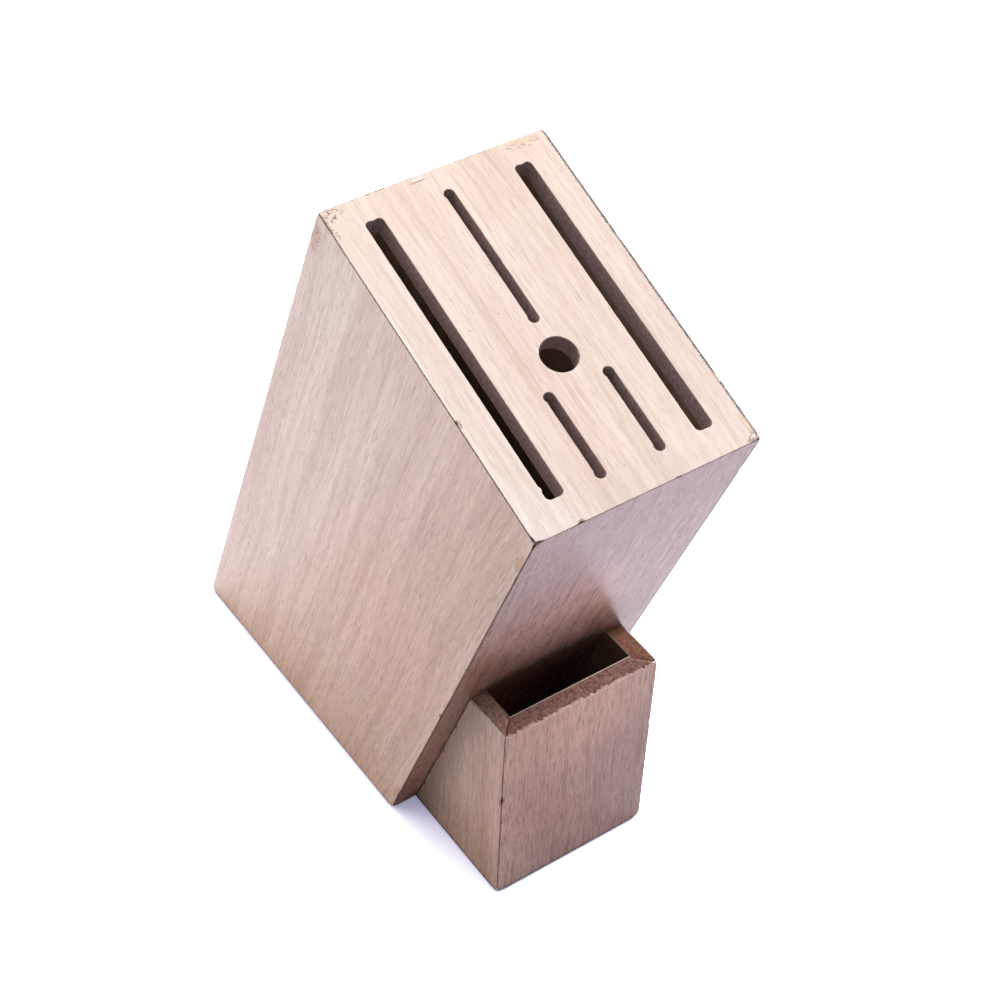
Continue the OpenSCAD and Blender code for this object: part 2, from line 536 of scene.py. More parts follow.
def narrow_slot(x, y0, y1, seed):
    """A single pass of the cutter with its plunge rounds bulging to the left."""
    r = PLUNGE_R
    half = CUTTER_R
    centre = x + half - r
    tuck = math.degrees(math.acos((half - (r - half)) / r))
    outline = arc((centre, y1 - r), r, 0, 180 + tuck, PLUNGE_STEPS)
    outline += straight((x - half, y1 - 1.6 * r), (x - half, y0 + 1.6 * r))
    outline += arc((centre, y0 + r), r, 180 - tuck, 360, PLUNGE_STEPS)
    outline += straight((x + half, y0 + r), (x + half, y1 - r))
    return roughen(outline, CHATTER, seed)


def slot_span(name):
    """Centre line and both ends of a slot in the slotted board's frame, from the record."""
    m = mount(name)
    spot = LEAN_FRAME.inverted() @ (Vector(m["pos_m"]) / MM)
    length = m["dims"]["slot_length_mm"]
    return spot.x + HALF_W, spot.y - length / 2, spot.y + length / 2


steel_spot = LEAN_FRAME.inverted() @ (Vector(mount("steel_hole")["pos_m"]) / MM)
steel_centre = (steel_spot.x + HALF_W, steel_spot.y)


def clockwise(outline):
    """Holes are walked clockwise, against the board's own outline."""
    area = sum(p.x * q.y - q.x * p.y for p, q in zip(outline, outline[1:] + outline[:1]))
    return outline if area < 0 else list(reversed(outline))


STEEL_STEPS = 62
STEEL_TURN = 354.4  # degrees, one step short of a full circle

SLOT_HOLES = [
    clockwise(wide_slot(*slot_span("wide_slot_left"), 1.0, burr=5.5)),
    clockwise(wide_slot(*slot_span("wide_slot_right"), 2.0)),
    clockwise(narrow_slot(*slot_span("middle_slot"), 3.0)),
    clockwise(narrow_slot(*slot_span("small_slot_left"), 4.0)),
    clockwise(narrow_slot(*slot_span("small_slot_right"), 5.0)),
    clockwise(roughen(arc(steel_centre, STEEL_R, 0, STEEL_TURN, STEEL_STEPS), 0.08, 6.0)),
]


# ---------------- materials


def paint(red, green, blue):
    """A colour from screen values 0..255, as linear light."""
    screen = [c / 255 for c in (red, green, blue)]
    return [c / 12.92 if c <= 0.04045 else ((c + 0.055) / 1.055) ** 2.4 for c in screen] + [1]


class Shader:
    """Short names for building one material's nodes. Lengths are in millimetres."""

    def __init__(self, name, on_cad=False):
        self.material = bpy.data.materials.new(name)
        self.material.use_nodes = True
        self.tree = self.material.node_tree
        self.surface = self.tree.nodes["Principled BSDF"]
        if on_cad:
            coords = self.node("TexCoord").outputs["Object"]
            scaled = self.node("VectorMath", {0: coords}, operation="SCALE")
            scaled.inputs["Scale"].default_value = 1 / MM
            self.where = scaled.outputs[0]
        else:
            self.where = self.node("Attribute", attribute_name="own_mm").outputs["Vector"]
        apart = self.node("SeparateXYZ", {0: self.where})
        self.x, self.y, self.z = apart.outputs

    def node(self, kind, inputs=None, **settings):
        made = self.tree.nodes.new("ShaderNode" + kind)
        for key, value in settings.items():
            setattr(made, key, value)
        for key, value in (inputs or {}).items():
            self.feed(made.inputs[key], value)
        return made

    def feed(self, socket, value):
        if isinstance(value, bpy.types.NodeSocket):
            self.tree.links.new(value, socket)
        else:
            socket.default_value = value

    def set(self, **values):
        for key, value in values.items():
            self.feed(self.surface.inputs[key.replace("_", " ")], value)

    def math(self, operation, *values):
        made = self.node("Math", dict(enumerate(values)), operation=operation)
        return made.outputs[0]

    def times(self, a, b):
        return self.math("MULTIPLY", a, b)

    def minus(self, a, b):
        return self.math("SUBTRACT", a, b)

    def ease(self, value, low, high, to_low=0.0, to_high=1.0):
        """Smooth step from to_low at low to to_high at high."""
        inputs = {0: value, 1: low, 2: high, 3: to_low, 4: to_high}
        return self.node("MapRange", inputs, interpolation_type="SMOOTHSTEP").outputs[0]

    def stretch(self, x, y, z=1.0, shift=0.0, where=None):
        """Coordinates in which x, y and z millimetres are one unit each."""
        moved = (shift, shift * 1.7, shift * 0.6)
        inputs = {0: where or self.where, 1: (1 / x, 1 / y, 1 / z), 2: moved}
        return self.node("VectorMath", inputs, operation="MULTIPLY_ADD").outputs[0]

    def noise(self, where, detail=2.0, rough=0.5, bend=0.0):
        inputs = {"Vector": where, "Scale": 1.0, "Detail": detail, "Roughness": rough}
        return self.node("TexNoise", {**inputs, "Distortion": bend}).outputs[0]

    def cells(self, where):
        """Distance to the nearest scattered point, and that point's own random colour."""
        made = self.node("TexVoronoi", {"Vector": where, "Scale": 1.0, "Randomness": 1.0})
        return made.outputs["Distance"], made.outputs["Color"]

    def blend(self, share, a, b, how="MIX"):
        inputs = {0: share, 6: a, 7: b}
        made = self.node("Mix", inputs, data_type="RGBA", blend_type=how)
        return made.outputs[2]

    def edge_distances(self, corners):
        """How far inside each edge of a board's outline a point of its face is."""
        distances = []
        for a, b in zip(corners, corners[1:] + corners[:1]):
            _, inward = side_of(Vector(a), Vector(b))
            flat = self.node("VectorMath", {0: self.where, 1: (*inward, 0)}, operation="DOT_PRODUCT")
            off = self.minus(flat.outputs["Value"], inward.dot(Vector(a)))
            distances.append(off)
        return distances

    def patch(self, u, v, half_u, half_v, soft=1.0, wobble=None):
        """1 inside an oval of the board at u across and v along it, 0 outside, soft at its rim."""
        du = self.math("DIVIDE", self.minus(self.x, u), half_u)
        dv = self.math("DIVIDE", self.minus(self.y, v), half_v)
        reach = self.math("ADD", self.times(du, du), self.times(dv, dv))
        if wobble is not None:
            reach = self.math("ADD", reach, wobble)
        return self.ease(reach, 1.0 + soft, max(0.0, 1.0 - soft))

    def bump(self, height, distance, strength):
        inputs = {"Height": height, "Distance": distance * MM, "Strength": strength}
        made = self.node("Bump", inputs)
        self.set(Normal=made.outputs[0])


THICK = 50  # patterns hardly change through a board's thickness


def streak(shader, width, length, shift, where=None):
    """Noise drawn out along the grain, about width by length millimetres."""
    return shader.noise(shader.stretch(width, length, THICK, shift, where), 2.0, 0.55)


def swaying(shader, shift):
    """Coordinates whose grain lines wander a little to and fro."""
    sway = shader.minus(shader.noise(shader.stretch(45, 120, THICK, shift), 1.0), 0.5)
    jitter = shader.minus(shader.noise(shader.stretch(3, 9, THICK, shift + 1), 2.0), 0.5)
    across = shader.math("MULTIPLY_ADD", sway, 9.0, shader.times(jitter, 0.4))
    offset = shader.node("CombineXYZ", {0: across}).outputs[0]
    return shader.node("VectorMath", {0: shader.where, 1: offset}, operation="ADD").outputs[0]


def dashes(shader, where, width, length, shift, share):
    """Scattered short dark lines along the grain; share is how many of the places hold one."""
    inputs = {0: where, 1: (1 / width, 1 / length, 1 / THICK), 2: (shift, shift * 1.3, shift)}
    drawn = shader.node("VectorMath", inputs, operation="MULTIPLY_ADD").outputs[0]
    near, own = shader.cells(drawn)
    draw = shader.node("SeparateColor", {0: own}).outputs[0]
    return shader.times(shader.ease(near, 0.36, 0.14), shader.ease(draw, 1 - share, 1.0))


def veneer(
    name, shift, corners, edges, light, deep, fleck=0.75, marks=(), stains=(), washes=(), cut=0.0
):
    """Beech veneer: grain along y, ray flecks, and rubbed edges on a board with these corners.

    marks: (across, along, half width, half length, colour, strength) for single knocks and patches,
    and for the painted highlight and shadow of a lifted flake
    stains: the same, but drawn as thin wandering cracks
    washes: (across, along, half width, half length, gain) for broad soft lighter and darker patches,
    partly tone and partly painted light and shade
    cut: how pale the sheet's cut edges are
    """
    s = Shader(name)
    grain = swaying(s, shift)
    bands = s.ease(streak(s, 17, 900, shift, grain), 0.36, 0.64)
    strands = s.ease(streak(s, 3.6, 190, shift + 3, grain), 0.36, 0.64)
    threads = s.ease(streak(s, 1.4, 70, shift + 5, grain), 0.36, 0.64)
    mottle = s.ease(streak(s, 1.7, 16, shift + 15, grain), 0.34, 0.66)
    fibre = streak(s, 0.45, 9, shift + 7, grain)
    tone = s.math("MULTIPLY_ADD", bands, 0.3, s.times(strands, 0.28))
    tone = s.math("MULTIPLY_ADD", threads, 0.26, tone)
    tone = s.math("MULTIPLY_ADD", mottle, 0.16, tone)
    tan = [deep[0] * 0.98, deep[1] * 1.04, deep[2] * 0.97, 1]
    hue = s.ease(streak(s, 2.4, 26, shift + 17, grain), 0.38, 0.62)
    colour = s.blend(tone, s.blend(hue, deep, tan), light)
    warm = [deep[0] * 0.66, deep[1] * 0.55, deep[2] * 0.48, 1]
    late_wood = s.ease(streak(s, 2.2, 60, shift + 9, grain), 0.54, 0.70, 0.0, 0.55 * fleck)
    colour = s.blend(late_wood, colour, warm)
    colour = s.blend(s.ease(fibre, 0.58, 0.32, 0.0, 0.6 * fleck), colour, warm)

    # Ray flecks and pores: short dark lines along the grain
    long_marks = dashes(s, grain, 0.75, 12.0, shift, 0.75)
    short_marks = dashes(s, grain, 0.55, 5.0, shift + 20, 0.6)
    lines = s.math("MAXIMUM", long_marks, s.times(short_marks, 0.8))
    line_tint = [deep[0] * 0.44, deep[1] * 0.31, deep[2] * 0.25, 1]
    colour = s.blend(s.times(lines, fleck), colour, line_tint)

    # Stray specks of dirt
    near, own = s.cells(s.stretch(7, 9, THICK, shift + 11))
    amount = s.node("SeparateColor", {0: own}).outputs[1]
    speck = s.times(s.ease(near, 0.05, 0.025), s.ease(amount, 0.62, 0.8))
    colour = s.blend(s.times(speck, 0.7), colour, SPECK)

    # Grime and bare wood along the edges; the dark lines along them are dirt in the joints and
    # painted shade in the gaps and under the foot
    distances = s.edge_distances(corners)
    edge = distances[0]
    for distance in distances[1:]:
        edge = s.math("MINIMUM", edge, distance)
    blotch = s.noise(s.stretch(2.6, 4.5, 9, shift + 5), 4.0, 0.65)
    rubbed = s.minus(edge, s.ease(blotch, 0.5, 0.85, 0.0, 1.4))
    edge_share = s.ease(rubbed, 0.3, -0.7, 0.0, 0.3)
    colour = s.blend(edge_share, colour, RUBBED)
    cut_edge = s.ease(s.z, -0.06, -0.16, 0.0, cut)
    colour = s.blend(cut_edge, colour, CUT_EDGE)
    crumble = s.ease(s.noise(s.stretch(0.7, 0.7, 9, shift + 8), 3.0, 0.7), 0.25, 0.75, -0.18, 0.24)
    for distance, e in zip(distances, edges):
        if e.line:
            reach = s.math("ADD", distance, s.times(crumble, 2 * e.width))
            line = s.ease(reach, 1.4 * e.width, 0.6 * e.width, 0.0, e.line)
            colour = s.blend(line, colour, JOINT_DIRT_AND_SHADE)

    # Broad lighter and darker patches: partly tone, partly painted light and shade
    for across, along, half_u, half_v, gain in washes:
        colour = s.blend(s.patch(across, along, half_u, half_v), colour, (*gain, 1), "MULTIPLY")

    wave = s.noise(s.stretch(4.6, 3.0, 9, shift + 6), 1.5, 0.5, 0.9)
    crack = s.ease(s.math("ABSOLUTE", s.minus(wave, 0.5)), 0.05, 0.015)
    broken = s.ease(s.noise(s.stretch(1.6, 1.3, 9, shift + 12), 2.0), 0.32, 0.5)
    crack = s.times(crack, broken)
    for across, along, half_u, half_v, tint, strength in stains:
        stained = s.times(s.patch(across, along, half_u, half_v, 0.5), crack)
        colour = s.blend(s.times(stained, strength), colour, tint)

    ragged = s.minus(s.noise(s.stretch(0.9, 1.6, 9, shift + 2), 5.0, 0.75), 0.5)
    torn = s.ease(s.noise(s.stretch(0.45, 1.1, 9, shift + 4), 4.0, 0.7), 0.42, 0.56, 0.4, 1.0)
    for across, along, half_u, half_v, tint, strength in marks:
        mark = s.patch(across, along, half_u, half_v, 0.4, s.times(ragged, 5.0))
        share = s.times(s.times(mark, torn), strength)
        colour = s.blend(share, colour, tint)
        rim = s.times(mark, s.minus(1, mark))
        colour = s.blend(s.times(rim, 2.4 * strength), colour, BROWN)

    gloss = s.math("ADD", s.ease(blotch, 0.3, 0.7, 0.27, 0.36), s.times(lines, 0.12))
    s.set(Base_Color=colour, Roughness=gloss)
    s.surface.inputs["IOR"].default_value = 1.5
    s.surface.inputs["Coat Weight"].default_value = 0.25
    s.surface.inputs["Coat Roughness"].default_value = 0.27
    relief = s.math("MULTIPLY_ADD", fibre, 0.5, s.times(lines, -0.5))
    s.bump(relief, 0.03, 0.5)
    return s.material


def fibreboard(name, shift, dark, pale, on_cad=False):
    """Bare sawn fibreboard: mottled brown with pale and dark fibres."""
    s = Shader(name, on_cad)
    mottle = s.noise(s.stretch(1.5, 1.5, 1.5, shift), 5.0, 0.7)
    fine = s.noise(s.stretch(0.28, 0.28, 0.28, shift + 4), 3.0, 0.6)
    colour = s.blend(s.ease(mottle, 0.32, 0.68), dark, pale)
    colour = s.blend(s.ease(fine, 0.58, 0.75, 0.0, 0.5), colour, paint(222, 186, 164))
    near, own = s.cells(s.stretch(1.1, 1.1, 1.1, shift + 9))
    amount = s.node("SeparateColor", {0: own}).outputs[0]
    pit = s.times(s.ease(near, 0.26, 0.12), s.ease(amount, 0.5, 0.8, 0.0, 0.8))
    colour = s.blend(pit, colour, paint(66, 42, 34))
    s.set(Base_Color=colour, Roughness=0.92, Specular_IOR_Level=0.15)
    s.bump(s.minus(s.math("ADD", mottle, fine), pit), 0.12, 0.6)
    return s.material


def plain_wood(name, shift, light, deep):
    """Thin backing sheet, smooth and a little darker than the face."""
    s = Shader(name, on_cad=True)
    bands = streak(s, 6, 200, shift)
    fibre = streak(s, 0.5, 12, shift + 2)
    tone = s.math("MULTIPLY_ADD", bands, 0.7, s.times(fibre, 0.3))
    s.set(Base_Color=s.blend(s.ease(tone, 0.3, 0.7), deep, light), Roughness=0.7)
    s.set(Specular_IOR_Level=0.2)
    s.bump(fibre, 0.04, 0.4)
    return s.material


def rubber(name):
    s = Shader(name)
    grain = s.noise(s.stretch(0.3, 0.3, 0.3), 3.0)
    s.set(Base_Color=s.blend(grain, paint(30, 30, 32), paint(52, 51, 52)))
    s.set(Roughness=s.ease(grain, 0.3, 0.7, 0.6, 0.8))
    s.bump(grain, 0.05, 0.5)
    return s.material


LIGHT_WOOD = paint(237, 223, 207)
DEEP_WOOD = paint(201, 178, 160)
# The right-hand and back boards face the lamps, so they are a shade darker and do not burn out.
LAMPLIT = dict(light=paint(206, 193, 178), deep=paint(174, 151, 135))
RUBBED = paint(136, 92, 66)
CUT_EDGE = paint(242, 226, 219)
# Dark lines along joints and feet: dirt, and painted shade in the gaps and under the foot
JOINT_DIRT_AND_SHADE = paint(50, 29, 23)
SPECK = paint(74, 48, 38)
BROWN = paint(128, 76, 50)
RED_BROWN = paint(108, 54, 40)
TAN = paint(190, 152, 100)
DARK = paint(60, 38, 30)

top_marks = [
    (90.5, BLOCK_D - 2.2, 4.5, 0.9, paint(226, 176, 134), 0.6),
    (92.0, BLOCK_D - 3.0, 0.5, 0.4, BROWN, 0.5),
    # A lifted flake by the back edge: a brown line of painted shadow beside it and a pale strip of
    # painted highlight on it
    (42, BLOCK_D - 2.7, 3.4, 0.3, BROWN, 0.85),
    (42, BLOCK_D - 1.7, 3.0, 0.7, paint(244, 230, 218), 0.6),
    (BLOCK_W - 0.8, BLOCK_D - 68.5, 0.7, 2.2, BROWN, 0.9),
    (BLOCK_W - 0.8, BLOCK_D - 119, 0.9, 1.3, TAN, 1.0),
    (BLOCK_W - 1.6, 8.0, 1.4, 4.0, TAN, 0.45),
    (BLOCK_W - 3.4, 1.0, 2.6, 0.6, BROWN, 0.85),
    (BLOCK_W - 0.8, 3.0, 0.8, 1.5, RED_BROWN, 0.85),
    (BLOCK_W - 2.2, 3.4, 0.7, 0.6, BROWN, 0.6),
    (BLOCK_W - 0.5, 1.6, 0.5, 1.6, DARK, 0.85),
    (BLOCK_W - 2.2, 0.4, 2.0, 0.35, DARK, 0.8),
    (0.5, BLOCK_D - 7.0, 0.6, 4.5, RED_BROWN, 0.8),
    (0.9, BLOCK_D - 97, 0.9, 1.6, BROWN, 0.8),
    (20, 0.8, 1.2, 0.7, BROWN, 0.8),
    (25, BLOCK_D - 66, 0.3, 0.3, DARK, 0.8),
    (38.6, BLOCK_D - 64, 0.3, 0.3, DARK, 0.8),
]

top_stains = [
    (4.0, BLOCK_D - 3.4, 4.6, 3.0, RED_BROWN, 0.95),
    (1.4, BLOCK_D - 8.0, 1.6, 5.5, RED_BROWN, 0.95),
    (BLOCK_W - 3.0, 2.0, 3.6, 1.8, RED_BROWN, 0.9),
    (BLOCK_W - 1.2, 26, 1.2, 6.0, TAN, 0.9),
    (88, BLOCK_D - 3.0, 8.0, 2.0, BROWN, 0.55),
]

# The sheet's back end is a shade deeper, a pinker band runs forward from the steel's hole, and other
# broad patches are lighter and darker: partly tone, partly painted light and shade matched to how
# the top is lit.
top_tone_and_light = [
    (BLOCK_W / 2, BLOCK_D, 80, 80, (0.95, 0.93, 0.92)),
    (0, 60, 30, 120, (1.05, 1.08, 1.1)),
    (BLOCK_W / 2, BLOCK_D, 75, 26, (0.96, 0.93, 0.88)),
    (102, 22, 26, 50, (0.89, 0.86, 0.84)),
    (50, 3, 18, 11, (0.94, 0.94, 0.93)),
    (0, 4, 16, 16, (1.02, 1.05, 1.09)),
    (40, 40, 18, 48, (0.96, 0.92, 0.91)),
]

left_stains = [
    (3.4, FRONT_LEN - 13, 3.0, 8.0, BROWN, 0.9),
    (BLOCK_D - 2.2, FRONT_LEN - 18, 2.2, 5.5, BROWN, 0.8),
]

# Paler towards the back, pinker towards the front: partly tone, partly painted light and shade
# matched to how the side is lit
left_tone_and_light = [
    (0, FRONT_LEN, 40, 60, (1.04, 1.12, 1.14)),
    (118, 180, 48, 130, (0.92, 0.88, 0.87)),
    (100, -30, 90, 50, (1.06, 1.02, 0.97)),
    (20, FRONT_LEN - 85, 50, 70, (1.02, 1.05, 1.06)),
    (95, 94, 50, 60, (1.04, 1.0, 0.98)),
]

# Painted light and shade on the front board: darker near the pocket, low along the left edge and
# along the top, lighter and bluer in between
front_painted_light = [
    (30, FRONT_LEN - 85, 40, 28, (1.08, 1.06, 1.02)),
    (35, FRONT_LEN - 140, 60, 34, (0.72, 0.72, 0.7)),
    (48, FRONT_LEN - 99, 22, 34, (1.2, 1.25, 1.26)),
    (6, FRONT_LEN - 78, 18, 26, (1.05, 1.1, 1.12)),
    (98, FRONT_LEN - 4, 22, 24, (0.91, 0.88, 0.89)),
    (74, FRONT_LEN - 2, 66, 44, (0.86, 0.81, 0.9)),
    (3, FRONT_LEN - 165, 12, 62, (0.78, 0.72, 0.57)),
]

# Painted light and shade on the pocket's front: lighter at the top, darker at the bottom right and
# along the right-hand edge, bluer at the bottom left
pocket_painted_light = [
    (38, POCKET_H - 8, 34, 26, (1.2, 1.2, 1.12)),
    (66, 12, 34, 60, (0.8, 0.77, 0.76)),
    (6, 4, 20, 24, (1.04, 1.14, 1.18)),
    (75, 60, 14, 90, (0.88, 0.86, 0.87)),
]

# Painted light and shade on the pocket's left cheek: darker at the bottom, lighter in a band towards
# its front edge
cheek_painted_light = [
    (40, 4, 30, 30, (0.86, 0.84, 0.82)),
    (46, 45, 16, 60, (1.12, 1.1, 1.08)),
]

left_marks = [
    (3.0, FRONT_LEN - 13, 1.8, 6.0, TAN, 0.7),
    (BLOCK_D - 1.9, FRONT_LEN - 18, 1.5, 4.5, TAN, 0.7),
    (BLOCK_D - 0.8, FRONT_LEN - 151, 0.8, 1.4, DARK, 0.9),
    (BLOCK_D - 1.5, 15, 1.5, 4.5, TAN, 0.6),
    (24, 24, 17, 0.4, BROWN, 0.3),
]

front_marks = [
    (69, FRONT_LEN - 62, 2.4, 0.35, BROWN, 0.7),
    (71, FRONT_LEN - 65, 0.4, 3.0, BROWN, 0.7),
    (51, FRONT_LEN - 50, 0.8, 0.3, BROWN, 0.5),
]

pocket_marks = [
    (0.6, 0.8, 1.2, 1.2, DARK, 0.9),
    (0.8, POCKET_H - 39, 0.8, 2.4, BROWN, 0.85),
    (1.2, POCKET_H - 55, 0.4, 0.5, paint(244, 236, 228), 0.8),
    (POCKET_W / 2, 0.3, POCKET_W / 2, 0.8, BROWN, 0.4),
    (POCKET_W / 2, POCKET_H - 0.9, POCKET_W / 2, 0.6, paint(240, 222, 212), 0.45),
]

cheek_marks = [
    (POCKET_D - 0.6, 0.8, 1.2, 1.2, DARK, 0.9),
    (75 * SLOPE + 0.7, 75, 0.8, 1.2, RED_BROWN, 0.9),
    (52 * SLOPE + 0.8, 52, 0.9, 1.5, RED_BROWN, 0.9),
    (16 * SLOPE + 0.7, 16, 0.8, 1.3, RED_BROWN, 0.9),
    (POCKET_D - 0.8, POCKET_H - 41, 0.8, 2.2, BROWN, 0.8),
]

# ---------------- boards

MITRE = 1.0


def mitre(ease=0.3, gap=0.05, frayed=0.05, line=0.0, width=0.5):
    return Edge(MITRE, ease, gap, frayed, line, width)


def square(slope=0.0, ease=0.12, frayed=0.15, gap=0.0, line=0.0, width=0.5, step=1.1):
    return Edge(slope, ease, gap, frayed, line, width, step)


SCRIBED_TOP = POCKET_H * SLOPE

# What the leaning box's boards share, and what the pocket's do
LEANING = dict(parent=LEAN_FRAME, wear=LEAN_WEAR, knocks=LEAN_KNOCKS, along=(0, 0, 1))
UPRIGHT = dict(parent=UPRIGHT_FRAME, wear=POCKET_WEAR, knocks=POCKET_KNOCKS, along=(0, 0, 1))

# Each board: its own frame, the corners of its outline, the edges between them and its finish.
# The numbers of a mitre are its ease, gap, frayed, line and width.
# Each board's beech tones were matched to how brightly that board is lit, so they are partly painted
# light and shade: the shaded front board and pocket front carry the darkest copies.
# The dark lines along the boards' feet are painted shade under the foot; those along the joints are
# dirt and painted shade in the gaps.
BOARDS = {
    "left_side": dict(
        LEANING,
        origin=(-HALF_W, BLOCK_D, 0),
        across=(0, -1, 0),
        corners=[(0, BACK_FOOT), (BLOCK_D, 0), (BLOCK_D, FRONT_LEN), (0, FRONT_LEN)],
        edges=[
            square(line=0.6, width=1.0),
            mitre(0.28, 0.12, 0.06, 0.9, 0.5),
            mitre(0.3, 0.1, 0.1, 0.7, 0.35),
            mitre(0.3, 0.05, 0.1, 0.2),
        ],
        chips=[chip(BLOCK_D, FRONT_LEN, (1, 1), (0.7, 1.0))],
        finish=dict(
            light=LIGHT_WOOD, deep=DEEP_WOOD, fleck=0.6,
            marks=left_marks, stains=left_stains, washes=left_tone_and_light,
        ),
    ),
    "right_side": dict(
        LEANING,
        origin=(HALF_W, 0, 0),
        across=(0, 1, 0),
        corners=[(0, 0), (BLOCK_D, BACK_FOOT), (BLOCK_D, FRONT_LEN), (0, FRONT_LEN)],
        edges=[
            square(line=0.6, width=1.0),
            mitre(0.3, 0.05, 0.1, 0.4, 0.35),
            mitre(0.3, 0.12, 0.15, 0.9, 0.5),
            mitre(0.28, 0.1, 0.08, 0.9, 0.5),
        ],
        finish=dict(LAMPLIT, fleck=0.6),
    ),
    "front_board": dict(
        LEANING,
        origin=(-HALF_W, 0, 0),
        across=(1, 0, 0),
        corners=[(0, 0), (BLOCK_W, 0), (BLOCK_W, FRONT_LEN), (0, FRONT_LEN)],
        edges=[
            square(-SLOPE, line=0.6, width=1.0),
            mitre(0.2, 0.1, 0.08, 0.97, 1.4),
            mitre(0.3, 0.06, 0.08, 0.3, 0.25),
            mitre(0.28, 0.1, 0.05, 0.75, 0.45),
        ],
        chips=[
            chip(0, FRONT_LEN, (-1, 1), (2.0, 0.9)),
            chip(BLOCK_W, FRONT_LEN, (1, 1), (1.0, 0.6)),
        ],
        finish=dict(
            light=paint(198, 160, 149), deep=paint(165, 125, 111), fleck=1.5,
            marks=front_marks, washes=front_painted_light,
        ),
    ),
    "back_board": dict(
        LEANING,
        origin=(HALF_W, BLOCK_D, 0),
        across=(-1, 0, 0),
        corners=[(0, BACK_FOOT), (BLOCK_W, BACK_FOOT), (BLOCK_W, FRONT_LEN), (0, FRONT_LEN)],
        edges=[
            square(SLOPE, ease=0.2, line=0.5),
            mitre(0.3, 0.06, 0.1, 0.3),
            mitre(0.3, 0.06, 0.15, 0.2),
            mitre(0.3, 0.06, 0.1, 0.3),
        ],
        finish=dict(LAMPLIT, fleck=0.6),
    ),
    "slot_board": dict(
        LEANING,
        origin=(-HALF_W, 0, FRONT_LEN),
        across=(1, 0, 0),
        along=(0, 1, 0),
        corners=[(0, 0), (BLOCK_W, 0), (BLOCK_W, BLOCK_D), (0, BLOCK_D)],
        edges=[
            mitre(0.3, 0.05, 0.1, 0.35, 0.25),
            mitre(0.2, 0.16, 0.2, 0.97, 1.3),
            mitre(0.3, 0.16, 0.6, 0.15),
            mitre(0.28, 0.12, 0.14, 0.75, 0.35),
        ],
        chips=[
            chip(0, 0, (-1, -1), (3.2, 1.5)),
            chip(BLOCK_W, 0, (1, -1), (0.8, 0.5)),
            chip(0, BLOCK_D, (-1, 1), (0.5, 0.8)),
        ],
        finish=dict(
            light=paint(222, 204, 197), deep=paint(202, 177, 167), fleck=0.4,
            marks=top_marks, stains=top_stains, washes=top_tone_and_light,
        ),
        holes=SLOT_HOLES,
    ),
    "pocket_front": dict(
        UPRIGHT,
        origin=(-HALF_POCKET, -POCKET_D, 0),
        across=(1, 0, 0),
        corners=[(0, 0), (POCKET_W, 0), (POCKET_W, POCKET_H), (0, POCKET_H)],
        edges=[
            square(line=0.75, width=1.3),
            mitre(0.28, 0.08, 0.12, 0.8, 0.5),
            square(ease=0.08, frayed=2.0, step=0.45),
            mitre(0.3, 0.1, 0.1, 0.8, 0.35),
        ],
        finish=dict(
            light=paint(211, 169, 149), deep=paint(178, 134, 117), fleck=1.25,
            marks=pocket_marks, washes=pocket_painted_light, cut=0.6,
        ),
    ),
    "pocket_left": dict(
        UPRIGHT,
        origin=(-HALF_POCKET, 0, 0),
        across=(0, -1, 0),
        corners=[(0, 0), (POCKET_D, 0), (POCKET_D, POCKET_H), (SCRIBED_TOP, POCKET_H)],
        edges=[
            square(line=0.75, width=1.3),
            mitre(0.3, 0.1, 0.05, 0.7, 0.35),
            square(ease=0.1, frayed=0.25),
            square(ease=0.1, frayed=0.7, gap=0.2, line=0.95, width=0.6, step=0.5),
        ],
        finish=dict(
            light=paint(215, 195, 181), deep=paint(182, 157, 140),
            marks=cheek_marks, washes=cheek_painted_light, cut=0.9,
        ),
    ),
    "pocket_right": dict(
        UPRIGHT,
        origin=(HALF_POCKET, -POCKET_D, 0),
        across=(0, 1, 0),
        corners=[(0, 0), (POCKET_D, 0), (POCKET_D - SCRIBED_TOP, POCKET_H), (0, POCKET_H)],
        edges=[
            square(line=0.75, width=1.3),
            square(ease=0.1, frayed=0.7, gap=0.2, line=0.95, width=0.6, step=0.5),
            square(ease=0.1, frayed=0.25),
            mitre(0.3, 0.08, 0.05, 0.7, 0.35),
        ],
        finish=dict(LAMPLIT, cut=0.9),
    ),
}

block_core = fibreboard("block_fibreboard", 2.0, paint(154, 134, 133), paint(188, 170, 171))
block_backing = plain_wood("backing_wood", 5.0, paint(232, 214, 200), paint(206, 182, 166))

# The pocket's sawn cores: place in the noise, dark tone, pale tone
POCKET_CORES = {
    "pocket_front": (9.0, paint(104, 71, 61), paint(171, 130, 119)),
    "pocket_left": (11.0, paint(125, 92, 80), paint(189, 151, 137)),
    "pocket_right": (12.0, paint(119, 77, 59), paint(158, 112, 92)),
}

# The cheeks' inner sheets: place in the noise, light tone, deep tone
CHEEK_BACKINGS = {
    "pocket_left": (6.0, paint(150, 118, 104), paint(120, 90, 78)),
    "pocket_right": (7.0, paint(178, 153, 141), paint(147, 123, 110)),
}


def core_finish(board):
    if board in POCKET_CORES:
        return fibreboard(board + "_fibreboard", *POCKET_CORES[board])
    return block_core


def backing_finish(board):
    if board in CHEEK_BACKINGS:
        return plain_wood(board + "_backing_wood", *CHEEK_BACKINGS[board])
    return block_backing


def bare_edges(edges, mitre_gap):
    """The edges of a board's core, which carry no dark lines and are set back a little."""
    bare = []
    for edge in edges:
        mitred = edge.slope == MITRE
        bare.append(Edge(edge.slope, 0.2 if mitred else 0.35, mitre_gap if mitred else 0.02, 0.12))
    return bare


